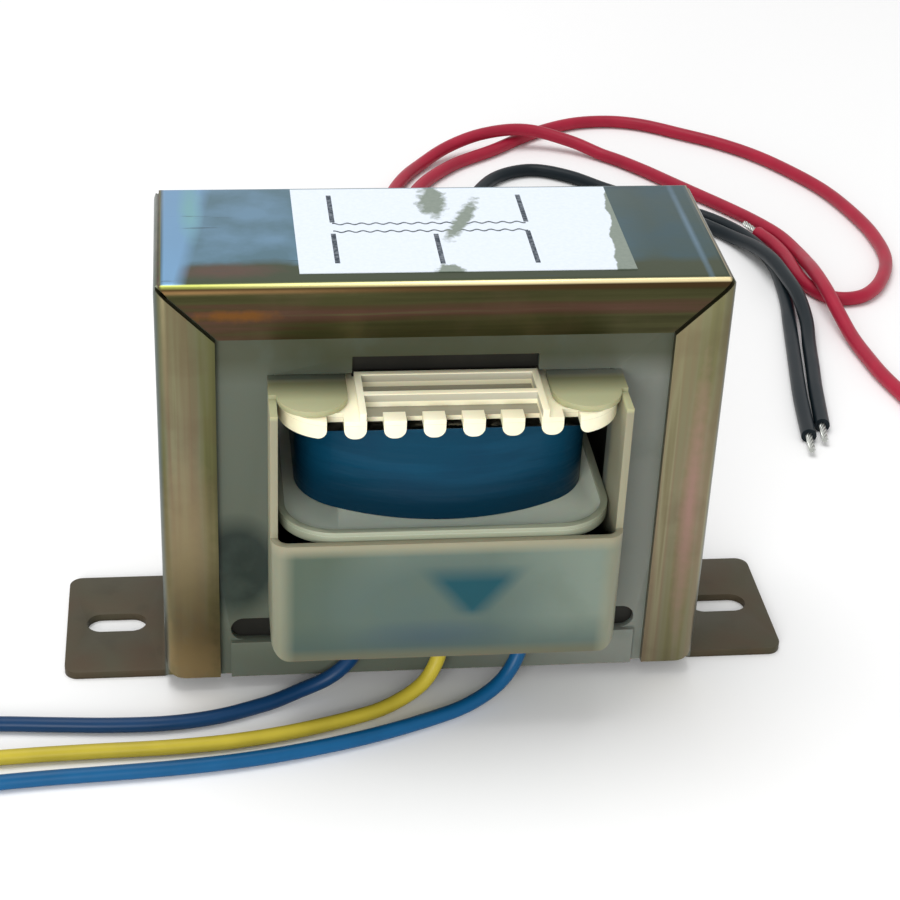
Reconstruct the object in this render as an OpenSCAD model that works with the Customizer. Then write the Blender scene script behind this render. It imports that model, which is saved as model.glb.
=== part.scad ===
// Chassis-mount laminated mains transformer.
// A stack of E and I sheets carries a three-flange bobbin with the primary winding
// above and the secondary winding below. One folded steel frame grips the stack and
// ends in two slotted feet. A moulded cover at each end insulates the coil.
// Origin: centre of the footprint, on the underside of the feet. +Z is up.
// The front faces -Y. All sizes are in millimetres.

/* [Core] */
// Width of an E sheet
core_w = 76.2; // [74:0.1:80]
// Height of an E and I pair
core_h = 63.5; // [61:0.1:66]
// Width of the centre limb
limb_w = 25.4; // [23:0.1:27]
// Width of each winding window
window_w = 12.7; // [12:0.1:14]
// Height of the winding windows
window_h = 38.1; // [37.8:0.1:40]
// Thickness of one sheet
sheet_t = 0.5; // [0.35:0.05:0.6]
// Number of sheets in the stack
sheet_count = 54; // [40:2:60]
// Varnish film between two sheets
sheet_gap = 0.02; // [0.02:0.01:0.05]
// Butt joint between an E and its I
joint_gap = 0.05; // [0.03:0.01:0.1]
// Diameter of the clamping holes in the corners
core_hole_d = 4.4; // [3:0.1:5]
// Distance of the clamping holes from the edges
core_hole_inset = 3.6; // [3:0.1:5]

/* [Frame] */
// Thickness of the frame's sheet steel
frame_t = 1.2; // [1:0.1:1.6]
// Width of the folded flanges, measured outside
flange_w = 8; // [6:0.5:10]
// Inside radius of the flange bends and the foot bends
bend_r = 0.6; // [0.4:0.1:0.9]
// Inside radius of the two upper corners
corner_r = 0.5; // [0.3:0.1:0.5]
// Width of the open mitre between two flanges
mitre_gap = 0.6; // [0.3:0.1:1]
// Height of the core above the underside of the feet
core_rise = 1.7; // [1.5:0.1:3]
// Height of the side flanges' lower ends
flange_rise = 2.4; // [2.2:0.1:3]
// Radius of the side flanges' lower outer corners
flange_corner_r = 3; // [1:0.5:4]
// Play between the core and each side wall
side_play = 0.2; // [0.2:0.05:0.4]
// Play between the core and the top
top_play = 0.2; // [0.15:0.05:0.3]

/* [Feet] */
// Reach of each foot beyond the side wall
foot_reach = 15; // [14.6:0.1:18]
// Depth of each foot
foot_d = 24.6; // [18:0.1:28]
// Corner radius of the feet
foot_corner_r = 2; // [1:0.5:4]
// Distance of each slot's centre from the side wall
slot_offset = 7.5; // [6.5:0.1:8.5]
// Overall length of a slot
slot_len = 9; // [7:0.1:9.5]
// Width of a slot
slot_w = 4.5; // [3.5:0.1:5.5]

/* [Bobbin] */
// Wall of the bobbin's tube
tube_wall = 1.2; // [0.8:0.1:1.4]
// Play between the tube and the centre limb
tube_play = 0.2; // [0.1:0.05:0.3]
// Overall height of the bobbin
bobbin_h = 37; // [36:0.1:37.5]
// Play between the bobbin and the lower yoke
bobbin_play = 0.2; // [0.1:0.05:0.4]
// Thickness of the upper and lower flange
flange_t = 1.4; // [1.2:0.1:1.8]
// Thickness of the middle flange
middle_t = 1.2; // [1:0.1:1.6]
// Winding height of the lower section
lower_section_h = 16.2; // [14:0.1:17]
// Overhang of the flanges in front of the stack
flange_over = 12.45; // [11.5:0.05:13]
// Play between a flange and the outer limbs
window_play = 2.1; // [1.2:0.1:2.4]
// Corner radius of the upper and lower flange
flange_r = 7.5; // [5:0.5:8]
// Corner radius of the middle flange
middle_r = 8; // [4:0.5:9]
// Height of the rim on the middle flange
rim_h = 0.6; // [0.4:0.1:1]
// Width of the rim on the middle flange
rim_w = 1; // [0.8:0.1:1.3]
// Number of wire notches in each comb
notch_count = 7; // [5:1:9]
// Distance between two wire notches
notch_pitch = 5.3; // [4.4:0.02:5.6]
// Width of a wire notch
notch_w = 2.3; // [1.8:0.1:2.6]
// Depth of a wire notch
notch_d = 2.4; // [1.8:0.1:2.6]
// Share of a tooth's width that each of its round corners takes
tip_share = 0.45; // [0.2:0.05:0.5]
// Height of the comb's teeth beyond the flange
comb_h = 1.3; // [0.8:0.1:1.8]
// Wall of the comb's skirt
comb_wall = 1.6; // [1.2:0.1:2]
// Height of the tray's ridges above the flange
ridge_h = 1.2; // [0.8:0.1:1.6]
// Width of the tray's ridges
ridge_w = 0.9; // [0.7:0.1:1.2]
// Depth of the tray's two pockets below the flange's face
pocket_depth = 0.7; // [0.3:0.1:0.9]
// Depth of the tray's rear pocket, from front to back
pocket_d = 4.6; // [4:0.1:5]

/* [Windings] */
// Build of the primary winding on the tube
primary_build = 6.2; // [5:0.1:7]
// Build of the secondary winding on the tube
secondary_build = 7.6; // [6:0.1:8]
// Extra build of both windings at their bulging ends
end_bulge = 0.9; // [0.2:0.1:1.2]
// Thickness of the tape wrap
tape_t = 0.25; // [0.15:0.05:0.4]
// Radius of the winding's corners
coil_r = 9; // [6:0.5:10]
// Radius to which the ends of the coil bulge
coil_crown_r = 32; // [30:1:60]
// Play between a winding, its flanges and its tape
wind_play = 0.1; // [0.05:0.05:0.2]

/* [Covers] */
// Thickness of the cover's face plate
plate_t = 0.95; // [0.8:0.05:1.2]
// Thickness of the cover's cup
cup_wall = 1; // [0.8:0.1:1.3]
// Play between the cup and the bobbin's flanges
cup_play = 0.2; // [0.15:0.05:0.3]
// Play between the face plate and its neighbours
plate_play = 0.02; // [0.02:0.01:0.1]
// Radius of the cup's lower edges
cup_r = 2.6; // [1.5:0.1:3]
// Radius of the cup's upright edges
cup_edge_r = 2.4; // [1.6:0.1:2.6]
// Distance of the cup panel's upper edge below the middle flange's face
panel_drop = 0.7; // [0.4:0.1:1.5]
// Height of the side walls above the bobbin
cup_rise = 0.3; // [0.2:0.1:0.8]
// Width of the retaining tabs
tab_w = 9.6; // [8:0.1:10.4]
// Length of the retaining tabs
tab_len = 10.3; // [8:0.1:11]
// Thickness of the retaining tabs
tab_t = 0.8; // [0.6:0.1:1]
// Height of the notch over the tray
tray_notch_h = 2.6; // [2.2:0.1:4]
// Height of the plate's lower edge above the core's underside
plate_rise = 0.4; // [0.2:0.1:1]
// Length of the drain slot and the bar below it
bar_len = 59.8; // [54:0.2:60.6]
// Height of the bar
bar_h = 6.1; // [5:0.1:6.5]
// Height of the slot above the bar
bar_slot_h = 3.8; // [2:0.1:4]
// Projection of the bar from the plate
bar_proud = 0.8; // [0.5:0.1:1]

/* [Label] */
// Width of the label
label_w = 46; // [30:1:60]
// Depth of the label
label_d = 27; // [20:0.5:28]
// Thickness of the label
label_t = 0.12; // [0.1:0.02:0.2]
// Distance of the label's centre from the middle
label_x = 3; // [-6:0.5:6]
// Distance of the label's centre behind the middle
label_y = 0.8; // [0:0.1:1]

/* [Leads] */
// Diameter of the primary leads
primary_lead_d = 2.8; // [2.4:0.1:2.8]
// Diameter of the secondary leads
secondary_lead_d = 2.2; // [1.8:0.1:2.2]
// Length of the tinned end of each lead
end_len = 5; // [3:0.5:8]
// Diameter of the primary leads' strands
primary_strand_d = 1.3; // [1:0.1:1.5]
// Diameter of the secondary leads' strands
secondary_strand_d = 1; // [0.8:0.1:1.2]
// Play between a secondary lead and its holes
lead_play = 0.2; // [0.1:0.05:0.3]

/* [Hidden] */

$fn = 48;
eps = 0.01;
cut = 1;

yoke_h = (core_h - window_h) / 2;
stack_t = sheet_count * sheet_t + (sheet_count - 1) * sheet_gap;
core_top = core_rise + core_h;
window_bottom = core_rise + yoke_h;
window_top = window_bottom + window_h;

frame_w = core_w + 2 * side_play + 2 * frame_t;
frame_in_d = stack_t + 2 * plate_t + 4 * plate_play;
frame_d = frame_in_d + 2 * frame_t;
frame_h = core_top + top_play + frame_t;
slot_spacing = frame_w + 2 * slot_offset;
bend_out = bend_r + frame_t;
corner_out = corner_r + frame_t;

tube_x = limb_w / 2 + tube_play + tube_wall;
tube_y = stack_t / 2 + tube_play + tube_wall;
bobbin_bottom = window_bottom + bobbin_play;
bobbin_top = bobbin_bottom + bobbin_h;
bobbin_middle = bobbin_bottom + bobbin_h / 2;
lower_z = bobbin_bottom + flange_t;
middle_z = lower_z + lower_section_h;
upper_z = middle_z + middle_t;
flange_x = limb_w / 2 + window_w - window_play;
flange_y = stack_t / 2 + flange_over;
tray_x = limb_w / 2;
tray_y = frame_in_d / 2 + plate_play;

cup_x = flange_x + cup_play;
cup_y = flange_y + cup_play;
cup_in_r = 0.4;
cup_bottom = bobbin_bottom - cup_play - cup_wall;
cup_top = bobbin_top + cup_rise;
plate_y = stack_t / 2 + plate_play;
plate_out = plate_y + plate_t;
plate_x = core_w / 2 + side_play - bend_r - plate_play;
plate_bottom = core_rise + plate_rise;
plate_top = core_top + top_play - bend_r - plate_play;
bar_top = plate_bottom + bar_h;

// Places where the secondary leads leave the cup, and how far in front of the middle
lead_x = [-11, 1, 13];
lead_y = 18;
lead_hole_d = secondary_lead_d + 2 * lead_play;
lead_start_z = lower_z + wind_play;
primary_out_y = tube_y + primary_build + end_bulge + wind_play + tape_t;
primary_start_z = upper_z + 10.5;
pr = primary_lead_d / 2;
sr = secondary_lead_d / 2;
lead_sides = 8;

// Routes of the leads, from the coil to the tinned end. Each lies on the floor
// for most of its way. A route's height is given above the lead's own radius.
red_route_a = [[-4, 0, 0], [-4, 5, 0], [-4, 10, -2], [-4, 15, -7], [-4, 19, -15],
    [-4, 22, -25], [-4, 26, -34]];
red_floor_a = [[-3, 56, 1.2], [-2, 66, 0], [0, 88, 0], [2, 112, 0], [5, 137, 0], [10, 158, 0],
    [16, 170, 0], [24, 178, 1.6], [33, 182.5, 3], [43, 184.5, 3], [53, 181.5, 1.4],
    [61, 175.5, 0], [67.5, 168, 0], [72.5, 161, 0], [77.5, 154, 0], [82.5, 147, 0],
    [87, 140, 0], [90.6, 132.5, 0], [92.3, 124, 0.2], [92.3, 118, 1.2], [92, 112, 2.4],
    [91.9, 106, 3], [92, 100, 3], [92.6, 94, 1.8], [93.4, 87, 0.4], [94.2, 80, 0],
    [95.2, 72, 0], [97.2, 63, 0], [100, 52, 0], [104, 41, 0], [109, 31, 0]];
red_route_b = [[2, 0, 0], [2, 5, 0], [2, 10, -2], [2, 15, -7], [2, 19, -15],
    [2, 22, -25], [2, 26, -34]];
red_floor_b = [[2, 56, 1.2], [3, 66, 0], [5, 90, 0], [7, 115, 0], [10, 140, 0], [15, 158, 0],
    [24, 171, 0], [35, 180, 0], [45, 189, 0], [55, 195, 0], [64, 196.5, 0], [72, 194.5, 0],
    [81, 188.5, 0], [89, 182.5, 0], [96, 175, 0], [102, 165.5, 0], [106.5, 156, 0],
    [109.5, 145, 0], [111.2, 133, 0], [110.5, 121, 0], [106.5, 111, 0], [101.5, 104.8, 0],
    [97, 103.2, 0], [93.4, 104.4, 0], [91.2, 107.8, 0], [90, 112, 0], [89.6, 117, 0],
    [89.3, 123, 0], [88.2, 129, 0], [86.2, 134.5, 0]];
black_route_a = [[8, 0, 0], [8, 5, 0], [8, 10, -2], [8, 15, -7], [8, 19, -15],
    [8, 22, -25], [8, 26, -34]];
black_floor_a = [[8, 56, 1.2], [9, 66, 0], [12, 92, 0], [17, 120, 0], [22, 142, 0],
    [28, 156, 0], [34, 165, 0], [42, 168.5, 0], [50, 165, 0], [57, 158, 0], [64, 152, 0],
    [72, 146.5, 0], [78, 141, 0], [82.5, 134, 0], [85, 126, 0], [85.8, 118, 0], [85.3, 110, 0],
    [84.3, 102, 0], [82.8, 94, 0], [81.3, 86, 0], [79.8, 78, 0], [78.3, 70, 0],
    [77, 62.5, 0], [75.2, 50, 0]];
black_route_b = [[14, 0, 0], [14, 5, 0], [14, 10, -2], [14, 15, -7], [14, 19, -15],
    [14, 22, -25], [14, 26, -34]];
black_floor_b = [[14, 56, 1.2], [15, 66, 0], [18, 92, 0], [23, 118, 0], [28, 136, 0],
    [35, 147, 0], [45, 151.5, 0], [55, 151, 0], [63, 148.5, 0], [70, 144, 0], [75.5, 138.8, 0],
    [80, 132, 0.3], [82.8, 124, 1.8], [84.3, 116, 2.9], [85.2, 108, 3], [85.8, 100, 2.6],
    [85.6, 92, 1.2], [84.2, 84, 0.1], [82.7, 76, 0], [81.1, 68, 0], [79.8, 60.5, 0],
    [78.6, 53.5, 0]];
blue_floor_a = [[-11.2, -18, 9], [-12.6, -18.1, 5.2], [-15.6, -18.3, 2.2], [-20, -19.2, 0.6],
    [-25.5, -21.5, 0], [-32, -23.8, 0], [-39, -24.9, 0], [-47, -24.9, 0], [-55, -24.3, 0],
    [-63, -23.6, 0], [-72, -23.2, 0], [-81, -23.6, 0], [-90, -25, 0], [-99, -27.6, 0],
    [-107, -31, 0]];
yellow_floor = [[0.9, -18.1, 9], [0.2, -18.8, 5.2], [-1.8, -20.2, 2.2], [-5.2, -22, 0.6],
    [-10, -24.3, 0], [-16, -26.4, 0], [-23, -28.3, 0], [-31, -29.7, 0], [-40, -30.4, 0],
    [-49, -30.6, 0], [-58, -30.9, 0], [-67, -31.5, 0], [-76, -32.6, 0], [-85, -34.4, 0],
    [-94, -37, 0]];
blue_floor_b = [[12.9, -18.1, 9], [12, -18.9, 5.2], [9.8, -20.4, 2.2], [6.4, -22.4, 0.6],
    [1.6, -24.9, 0], [-5, -27.7, 0], [-12, -30.1, 0], [-20, -32.2, 0], [-29, -33.9, 0],
    [-38, -34.9, 0], [-47, -35.5, 0], [-56, -36, 0], [-65, -36.8, 0], [-74, -38.2, 0],
    [-83, -40.4, 0]];

function unit(v) = v / norm(v);
function last(list) = list[len(list) - 1];

// Where a lead at x meets the bulging rear face of the taped primary winding
function coil_end_y(x) = let (near = max(abs(x) - pr, 0), r = coil_crown_r + wind_play + tape_t)
    primary_out_y - r + sqrt(r * r - near * near);

// Route of a primary lead: out of the coil's rear face, down, and along the floor
function primary_path(fall, floor) = concat(
    [for (p = fall) [p.x, coil_end_y(p.x) + p.y, primary_start_z + p.z]],
    [for (p = floor) [p.x, p.y, p.z + pr]]);

// Route of a secondary lead: down through the cup's floor, and along the floor
function secondary_path(x, floor) = concat(
    [[x, -lead_y, lead_start_z], [x, -lead_y, cup_bottom - cut]],
    [for (p = floor) [p.x, p.y, p.z + sr]]);

red_path_a = primary_path(red_route_a, red_floor_a);
red_path_b = primary_path(red_route_b, red_floor_b);
black_path_a = primary_path(black_route_a, black_floor_a);
black_path_b = primary_path(black_route_b, black_floor_b);
blue_path_a = secondary_path(lead_x[0], blue_floor_a);
yellow_path = secondary_path(lead_x[1], yellow_floor);
blue_path_b = secondary_path(lead_x[2], blue_floor_b);

// Direction of a path at each of its points
function tangents(path) = [for (i = [0 : len(path) - 1])
    unit(path[min(i + 1, len(path) - 1)] - path[max(i - 1, 0)])];

// Side vectors that follow a path without twisting
function sides(dirs, side, i = 0) = i == len(dirs) ? [] :
    let (s = unit(side - (side * dirs[i]) * dirs[i]))
    concat([s], sides(dirs, s, i + 1));

module mirror_y() {
    children();
    mirror([0, 1, 0]) children();
}

module mirror_x() {
    children();
    mirror([1, 0, 0]) children();
}

// Rectangle about the origin with round corners
module round_rect(w, h, r) {
    square([w - 2 * r, h], center = true);
    square([w, h - 2 * r], center = true);
    for (x = [-1, 1], y = [-1, 1])
        translate([x * (w / 2 - r), y * (h / 2 - r)]) circle(r);
}

// Turns an outline drawn in X and Z into a slab from y0 to y1
module slab_y(y0, y1) {
    translate([0, y1, 0]) rotate([90, 0, 0]) linear_extrude(y1 - y0) children();
}

// ---- core ----

// Outline of an E sheet with its back below, joint at the upper end
module e_outline() {
    difference() {
        translate([-core_w / 2, 0]) square([core_w, core_h - yoke_h - joint_gap]);
        mirror_x() translate([limb_w / 2, yoke_h]) square([window_w, core_h]);
        mirror_x() translate([core_w / 2 - core_hole_inset, core_hole_inset]) circle(d = core_hole_d);
    }
}

// Outline of an I sheet, standing at the upper end of the same pair
module i_outline() {
    difference() {
        translate([-core_w / 2, core_h - yoke_h]) square([core_w, yoke_h]);
        mirror_x() translate([core_w / 2 - core_hole_inset, core_h - core_hole_inset])
            circle(d = core_hole_d);
    }
}

// Every sheet of one kind, turned end for end from one sheet to the next
module sheets() {
    for (i = [0 : sheet_count - 1]) {
        y0 = -stack_t / 2 + i * (sheet_t + sheet_gap);
        slab_y(y0, y0 + sheet_t)
            if (i % 2 == 0) translate([0, core_rise]) children();
            else translate([0, core_top]) mirror([0, 1]) children();
    }
}

module e_laminations() {
    color("#5a5c58") sheets() e_outline();
}

module i_laminations() {
    color("#666862") sheets() i_outline();
}

// ---- frame ----

// Cross-section of the folded channel: web on top, a flange down each side
module channel_outline() {
    difference() {
        translate([0, -flange_w - cut]) intersection() {
            translate([0, (flange_w + cut) / 2]) square([frame_d, flange_w + cut], center = true);
            translate([0, flange_w + cut - frame_w / 2]) round_rect(frame_d, frame_w, bend_out);
        }
        translate([0, -frame_t - frame_w / 2]) round_rect(frame_in_d, frame_w, bend_r);
        translate([-frame_d, -flange_w - frame_d]) square([2 * frame_d, frame_d]);
    }
}

// Outline of the frame's web seen from the front, with both upper corners round
module web_outline(inset, r) {
    w = frame_w - 2 * inset;
    h = frame_h - inset;
    translate([0, h / 2]) round_rect(w, h, r);
    translate([-w / 2, 0]) square([w, h / 2]);
}

// Straight run of channel along the top, cut to the mitres
module top_run() {
    reach = frame_w / 2 - mitre_gap * sqrt(2) / 2;
    intersection() {
        translate([-frame_w / 2, 0, frame_h]) rotate([90, 0, 90])
            linear_extrude(frame_w) channel_outline();
        slab_y(-frame_d, frame_d) polygon([[-reach, frame_h], [reach, frame_h],
            [reach - flange_w - cut, frame_h - flange_w - cut],
            [-reach + flange_w + cut, frame_h - flange_w - cut]]);
    }
}

// Straight run of channel down one side, cut to the mitre and round at its lower end
module side_run() {
    drop = frame_h - mitre_gap * sqrt(2) / 2;
    intersection() {
        translate([frame_w / 2, 0, 0]) rotate([0, 0, -90])
            linear_extrude(frame_h) channel_outline();
        slab_y(-frame_d, frame_d) difference() {
            polygon([[frame_w / 2, flange_rise], [frame_w / 2, drop],
                [frame_w / 2 - flange_w - cut, drop - flange_w - cut],
                [frame_w / 2 - flange_w - cut, flange_rise]]);
            translate([frame_w / 2 - flange_corner_r, flange_rise]) difference() {
                square(flange_corner_r + cut);
                translate([0, flange_corner_r]) circle(flange_corner_r);
                translate([-cut, flange_corner_r]) square(flange_corner_r + 3 * cut);
            }
        }
    }
}

// Web between the flange bends, one strip over the top and down both sides
module web() {
    slab_y(-frame_d / 2 + bend_out, frame_d / 2 - bend_out) difference() {
        web_outline(0, corner_out);
        translate([0, -cut]) square([2 * frame_w, 2 * (bend_out + cut)], center = true);
        web_outline(frame_t, corner_r);
    }
}

// Foot, with the bend that joins it to the side wall and a slot along X
module foot() {
    wall_x = frame_w / 2;
    difference() {
        slab_y(-foot_d / 2, foot_d / 2) {
            translate([wall_x - frame_t, bend_out]) square([frame_t, flange_rise]);
            translate([wall_x + bend_r, 0]) square([foot_reach - bend_r, frame_t]);
            translate([wall_x + bend_r, bend_out]) difference() {
                circle(bend_out);
                circle(bend_r);
                translate([0, -frame_w / 2]) square(frame_w);
                translate([-frame_w / 2, 0]) square(frame_w);
            }
        }
        translate([wall_x + foot_reach, 0, -cut]) mirror_y()
            translate([-foot_corner_r, foot_d / 2 - foot_corner_r, 0])
            linear_extrude(frame_t + 2 * cut) difference() {
                square(foot_corner_r + cut);
                circle(foot_corner_r);
            }
        translate([slot_spacing / 2, 0, -cut]) linear_extrude(frame_t + 2 * cut) {
            square([slot_len - slot_w, slot_w], center = true);
            mirror_x() translate([(slot_len - slot_w) / 2, 0]) circle(d = slot_w);
        }
    }
}

module frame() {
    color("#9a8a5a") {
        intersection() {
            union() {
                top_run();
                mirror_x() side_run();
            }
            slab_y(-frame_d, frame_d) web_outline(0, corner_out);
        }
        web();
        mirror_x() foot();
    }
}

// ---- bobbin ----

// Comb seen from the front: a band with rounded teeth that point down
module comb_outline() {
    tooth_w = notch_pitch - notch_w;
    tooth_r = tooth_w * tip_share;
    h = flange_t + comb_h;
    edge_x = (notch_count - 1) / 2 * notch_pitch + notch_w / 2;
    for (i = [0 : notch_count - 2])
        translate([(i - (notch_count - 2) / 2) * notch_pitch, 0]) {
            translate([-tooth_w / 2, -h + tooth_r]) square([tooth_w, h - tooth_r]);
            translate([-tooth_w / 2 + tooth_r, -h]) square([tooth_w - 2 * tooth_r, h]);
            mirror_x() translate([tooth_w / 2 - tooth_r, -h + tooth_r]) circle(tooth_r);
        }
    mirror_x() {
        translate([edge_x, -h + tooth_r]) square([flange_x, h - tooth_r]);
        translate([edge_x + tooth_r, -h]) square([flange_x, h]);
        translate([edge_x + tooth_r, -h + tooth_r]) circle(tooth_r);
    }
}

// Skirt round the front of a flange, cut to the comb
module comb() {
    intersection() {
        translate([0, 0, -flange_t - comb_h]) linear_extrude(flange_t + comb_h) difference() {
            round_rect(2 * flange_x, 2 * flange_y, flange_r);
            round_rect(2 * (flange_x - comb_wall), 2 * (flange_y - comb_wall), flange_r - comb_wall);
            square([4 * flange_x, 2 * (flange_y - flange_r)], center = true);
        }
        slab_y(-2 * flange_y, 2 * flange_y) comb_outline();
    }
}

// Tray on the outer face of a flange: ridges round two shallow pockets
module tray_walls() {
    mirror_y() translate([0, tray_y, 0]) linear_extrude(ridge_h) {
        translate([-tray_x, 0]) square([2 * tray_x, ridge_w]);
        translate([-tray_x, ridge_w + pocket_d]) square([2 * tray_x, ridge_w]);
        mirror_x() translate([tray_x - ridge_w, 0]) square([ridge_w, flange_y - tray_y]);
    }
}

module tray_pockets() {
    front_d = flange_y - tray_y - 2 * ridge_w - pocket_d - notch_d;
    mirror_y() translate([-tray_x + ridge_w, tray_y + ridge_w, -pocket_depth])
        linear_extrude(pocket_depth + cut) {
            square([2 * (tray_x - ridge_w), pocket_d]);
            translate([0, pocket_d + ridge_w]) square([2 * (tray_x - ridge_w), front_d]);
        }
}

// Upper flange with its outer face at the origin; turned over it is the lower one
module end_flange() {
    difference() {
        union() {
            translate([0, 0, -flange_t]) linear_extrude(flange_t)
                round_rect(2 * flange_x, 2 * flange_y, flange_r);
            comb();
        }
        mirror_y() for (i = [0 : notch_count - 1])
            translate([(i - (notch_count - 1) / 2) * notch_pitch - notch_w / 2,
                flange_y - notch_d, -flange_t - comb_h - cut])
                cube([notch_w, notch_d + cut, flange_t + comb_h + 2 * cut]);
    }
}

// Middle flange, with a rim round its upper face
module middle_flange() {
    linear_extrude(middle_t) round_rect(2 * flange_x, 2 * flange_y, middle_r);
    linear_extrude(middle_t + rim_h) difference() {
        round_rect(2 * flange_x, 2 * flange_y, middle_r);
        round_rect(2 * (flange_x - rim_w), 2 * (flange_y - rim_w), middle_r - rim_w);
    }
}

module bobbin() {
    color("#efe6c4") difference() {
        union() {
            translate([0, 0, bobbin_bottom]) linear_extrude(bobbin_h)
                square([2 * tube_x, 2 * tube_y], center = true);
            translate([0, 0, bobbin_top]) {
                end_flange();
                tray_walls();
            }
            translate([0, 0, bobbin_bottom]) mirror([0, 0, 1]) end_flange();
            translate([0, 0, middle_z]) middle_flange();
        }
        translate([0, 0, bobbin_top]) tray_pockets();
        translate([0, 0, bobbin_bottom - cut]) linear_extrude(bobbin_h + 2 * cut)
            square([limb_w + 2 * tube_play, stack_t + 2 * tube_play], center = true);
        for (x = lead_x) translate([x - lead_hole_d / 2, -flange_y - cut, bobbin_bottom - comb_h - 2 * cut])
            cube([lead_hole_d, flange_y + cut - lead_y, flange_t + 2 * comb_h + 3 * cut]);
        for (x = lead_x) translate([x, -lead_y, bobbin_bottom - ridge_h - cut])
            cylinder(d = lead_hole_d, h = flange_t + ridge_h + 2 * cut);
    }
}

// ---- windings ----

// Outline of a winding in plan, grown outwards: bulging ends and round corners
module coil_outline(build, grow = 0) {
    x = tube_x + build + grow;
    y = tube_y + build + end_bulge + grow;
    r = coil_r + grow;
    crown_r = coil_crown_r + grow;
    corner_x = x - r;
    rise = sqrt((crown_r - r) * (crown_r - r) - corner_x * corner_x);
    intersection() {
        difference() {
            square([2 * x, 2 * y], center = true);
            mirror_x() mirror_y() translate([corner_x, y - crown_r + rise]) difference() {
                polygon([[0, 0], [2 * r, 0], [2 * r, 2 * r], 2 * r * unit([corner_x, rise])]);
                circle(r);
            }
        }
        translate([0, y - crown_r]) circle(crown_r, $fn = 96);
        translate([0, crown_r - y]) circle(crown_r, $fn = 96);
    }
}

// Coil between two flanges, from z0 to z1
module coil(build, z0, z1) {
    translate([0, 0, z0 + wind_play]) linear_extrude(z1 - z0 - 2 * wind_play) difference() {
        coil_outline(build);
        square([2 * (tube_x + wind_play), 2 * (tube_y + wind_play)], center = true);
    }
}

// Tape wrapped round a coil
module tape(build, z0, z1) {
    translate([0, 0, z0 + wind_play]) linear_extrude(z1 - z0 - 2 * wind_play) difference() {
        coil_outline(build, wind_play + tape_t);
        coil_outline(build, wind_play);
    }
}

module primary_winding() {
    color("#b4622c") coil(primary_build, upper_z, bobbin_top - flange_t);
}

module secondary_winding() {
    color("#c0703a") coil(secondary_build, lower_z, middle_z);
}

module primary_tape() {
    color("#15506c") tape(primary_build, upper_z, bobbin_top - flange_t);
}

module secondary_tape() {
    color("#124460") tape(secondary_build, lower_z, middle_z);
}

// ---- covers ----

// Face plate seen from the front, with the coil opening, the tray notch and the slot
module plate_outline() {
    difference() {
        translate([-plate_x, plate_bottom]) square([2 * plate_x, plate_top - plate_bottom]);
        translate([-cup_x, cup_bottom + cup_wall])
            square([2 * cup_x, window_top + 2 * plate_play - cup_bottom - cup_wall]);
        translate([-tray_x - cup_play, bobbin_top])
            square([2 * (tray_x + cup_play), window_top - bobbin_top + tray_notch_h]);
        translate([0, bar_top + bar_slot_h / 2]) {
            square([bar_len - bar_slot_h, bar_slot_h], center = true);
            mirror_x() translate([(bar_len - bar_slot_h) / 2, 0]) circle(d = bar_slot_h);
        }
    }
}

// Cup's walls seen from the front, with round lower edges and no top
module cup_outline(inset, top, r) {
    w = 2 * (cup_x + cup_wall - inset);
    h = top - cup_bottom;
    translate([0, cup_bottom + inset]) {
        translate([-w / 2 + r, 0]) square([w - 2 * r, h - inset]);
        translate([-w / 2, r]) square([w, h - inset - r]);
        mirror_x() translate([w / 2 - r, r]) circle(r);
    }
}

// Block inside the cup's outer faces, or inside its inner faces when inset by the wall
module cup_block(inset, top, back, r) {
    x = cup_x + cup_wall - inset;
    y = cup_y + cup_wall - inset;
    intersection() {
        slab_y(-y, back) cup_outline(inset, top, r);
        translate([0, 0, cup_bottom]) linear_extrude(top - cup_bottom)
            round_rect(2 * x, 2 * y, cup_edge_r - inset);
    }
}

// Retaining tab in plan, folded over the bobbin's upper flange
module tab_outline() {
    r = tab_w / 2;
    translate([cup_x - tab_w, 0]) square([tab_w, tab_len - r]);
    translate([cup_x - r, tab_len - r]) circle(r);
}

// Cover for the front; mirrored it is the one for the rear
module cover() {
    panel_y = cup_y + cup_wall;
    difference() {
        union() {
            slab_y(-plate_out, -plate_y) plate_outline();
            slab_y(-plate_out - bar_proud, -plate_out + eps)
                translate([-bar_len / 2, plate_bottom]) square([bar_len, bar_h]);
            difference() {
                cup_block(0, cup_top, -plate_out + eps, cup_r);
                cup_block(cup_wall, cup_top + cut, -plate_out + cut, cup_in_r);
                translate([-2 * cup_x, -panel_y - cut, upper_z - panel_drop])
                    cube([4 * cup_x, cup_edge_r + cut, cup_top]);
            }
            mirror_x() translate([0, -plate_out, bobbin_top + cup_play / 2]) mirror([0, 1, 0])
                linear_extrude(tab_t) {
                    tab_outline();
                    translate([cup_x - eps, 0]) square([cup_wall, tab_len - tab_w / 2]);
                }
        }
        for (x = lead_x) translate([x, -lead_y, cup_bottom - cut])
            cylinder(d = lead_hole_d, h = cup_wall + 2 * cut);
    }
}

module front_cover() {
    color("#9aa89c") cover();
}

module rear_cover() {
    color("#9aa89c") mirror([0, 1, 0]) cover();
}

module label() {
    color("#eef3f6") translate([label_x, label_y, frame_h]) linear_extrude(label_t)
        square([label_w, label_d], center = true);
}

// ---- leads ----

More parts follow.
